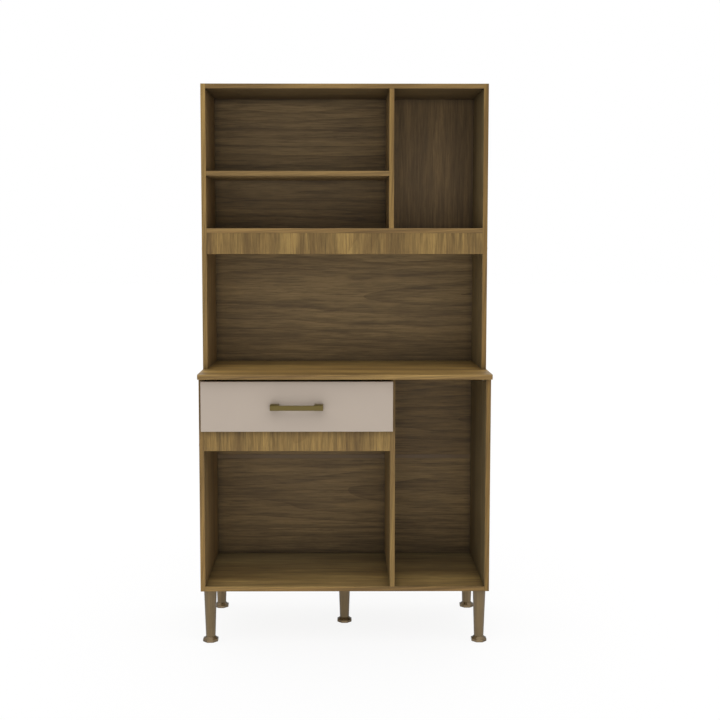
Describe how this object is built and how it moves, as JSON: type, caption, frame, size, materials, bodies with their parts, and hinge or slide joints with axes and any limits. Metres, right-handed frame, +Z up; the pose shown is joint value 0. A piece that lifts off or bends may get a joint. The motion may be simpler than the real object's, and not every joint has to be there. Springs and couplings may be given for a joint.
{
  "type": "kitchen cabinet",
  "caption": "Free-standing kitchen cabinet: open hutch with shelf and divider over a worktop, and a base with a drawer on roller slides above open bays, on tapered levelling legs.",
  "frame": {"origin": "on the floor, at the middle of the width and of the overall depth", "axes": "+X to the right along the front, +Y from the front to the wall, +Z up"},
  "size_m": [0.901, 0.445, 1.745],
  "materials": {
    "oak_board": "oak-print laminate, satin",
    "back_sheet": "oak-print fibreboard, satin",
    "joint_strip": "brown extruded plastic",
    "painted_front": "warm grey-beige matt paint",
    "drawer_board": "oak-print laminate, satin",
    "drawer_sheet": "oak-print fibreboard",
    "handle_metal": "satin olive brass",
    "slide_steel": "epoxy-coated steel",
    "roller_nylon": "white nylon",
    "screw_steel": "zinc plated",
    "bracket_steel": "brown powder coat",
    "insert_zinc": "die-cast zinc",
    "dowel_beech": "bare beech",
    "cap_film": "oak-print cover film",
    "leg_plastic": "satin bronze-brown",
    "foot_plastic": "satin bronze-brown"
  },
  "bodies": {
    "cabinet": {"base_left_side": "oak_board", "base_right_side": "oak_board", "base_bottom": "oak_board", "base_divider": "oak_board", "drawer_rail": "oak_board", "worktop": "oak_board", "hutch_left_side": "oak_board", "hutch_right_side": "oak_board", "hutch_top": "oak_board", "hutch_divider": "oak_board", "hutch_small_shelf": "oak_board", "hutch_floor": "oak_board", "hutch_rail": "oak_board", "base_back_lower": "back_sheet", "base_back_upper": "back_sheet", "hutch_back_lower": "back_sheet", "hutch_back_left": "back_sheet", "hutch_back_right": "back_sheet", "back_joint_strips": "joint_strip", "slide_channel_left": "slide_steel", "slide_channel_right": "slide_steel", "front_roller_pins": "screw_steel", "slide_channel_screws": "screw_steel", "board_screws": "screw_steel", "bracket_screws": "screw_steel", "leg_studs": "screw_steel", "back_nails": "screw_steel", "corner_brackets": "bracket_steel", "leg_inserts": "insert_zinc", "dowels": "dowel_beech", "screw_caps": "cap_film", "leg_front_left": "leg_plastic", "leg_front_right": "leg_plastic", "leg_centre": "leg_plastic", "leg_rear_left": "leg_plastic", "leg_rear_right": "leg_plastic"},
    "drawer": {"drawer_front": "painted_front", "drawer_left_side": "drawer_board", "drawer_right_side": "drawer_board", "drawer_back": "drawer_board", "drawer_bottom": "drawer_sheet", "handle": "handle_metal", "handle_screws": "screw_steel", "drawer_cam_bolts": "screw_steel", "drawer_cams": "insert_zinc", "drawer_screws": "screw_steel", "slide_runner_left": "slide_steel", "slide_runner_right": "slide_steel", "slide_runner_screws": "screw_steel", "rear_roller_pins": "screw_steel"},
    "front_roller_left": {"front_roller_left": "roller_nylon"},
    "front_roller_right": {"front_roller_right": "roller_nylon"},
    "rear_roller_left": {"rear_roller_left": "roller_nylon"},
    "rear_roller_right": {"rear_roller_right": "roller_nylon"},
    "foot_front_left": {"foot_front_left": "foot_plastic"},
    "foot_front_right": {"foot_front_right": "foot_plastic"},
    "foot_centre": {"foot_centre": "foot_plastic"},
    "foot_rear_left": {"foot_rear_left": "foot_plastic"},
    "foot_rear_right": {"foot_rear_right": "foot_plastic"}
  },
  "joints": [
    {"name": "drawer_slide", "type": "slide", "parent": "cabinet", "child": "drawer", "axis": [0, -1, 0], "range_m": [0, 0.26]},
    {"name": "front_roller_spin_left", "type": "hinge", "parent": "cabinet", "child": "front_roller_left", "pos_m": [-0.4301, -0.1575, 0.69], "axis": [1, 0, 0], "range_deg": [0, 1660]},
    {"name": "rear_roller_spin_left", "type": "hinge", "parent": "drawer", "child": "rear_roller_left", "pos_m": [-0.4274, 0.1655, 0.6893], "axis": [1, 0, 0], "range_deg": [0, 1660]},
    {"name": "front_roller_spin_right", "type": "hinge", "parent": "cabinet", "child": "front_roller_right", "pos_m": [0.1351, -0.1575, 0.69], "axis": [1, 0, 0], "range_deg": [0, 1660]},
    {"name": "rear_roller_spin_right", "type": "hinge", "parent": "drawer", "child": "rear_roller_right", "pos_m": [0.1324, 0.1655, 0.6893], "axis": [1, 0, 0], "range_deg": [0, 1660]},
    {"name": "foot_level_front_left", "type": "slide", "parent": "cabinet", "child": "foot_front_left", "axis": [0, 0, 1], "range_m": [-0.012, 0]},
    {"name": "foot_level_front_right", "type": "slide", "parent": "cabinet", "child": "foot_front_right", "axis": [0, 0, 1], "range_m": [-0.012, 0]},
    {"name": "foot_level_centre", "type": "slide", "parent": "cabinet", "child": "foot_centre", "axis": [0, 0, 1], "range_m": [-0.012, 0]},
    {"name": "foot_level_rear_left", "type": "slide", "parent": "cabinet", "child": "foot_rear_left", "axis": [0, 0, 1], "range_m": [-0.012, 0]},
    {"name": "foot_level_rear_right", "type": "slide", "parent": "cabinet", "child": "foot_rear_right", "axis": [0, 0, 1], "range_m": [-0.012, 0]}
  ],
  "couplings": [
    {"joint": "front_roller_spin_left", "follows": "drawer_slide", "rad_per_m": 111.11},
    {"joint": "rear_roller_spin_left", "follows": "drawer_slide", "rad_per_m": 111.11},
    {"joint": "front_roller_spin_right", "follows": "drawer_slide", "rad_per_m": 111.11},
    {"joint": "rear_roller_spin_right", "follows": "drawer_slide", "rad_per_m": 111.11}
  ]
}
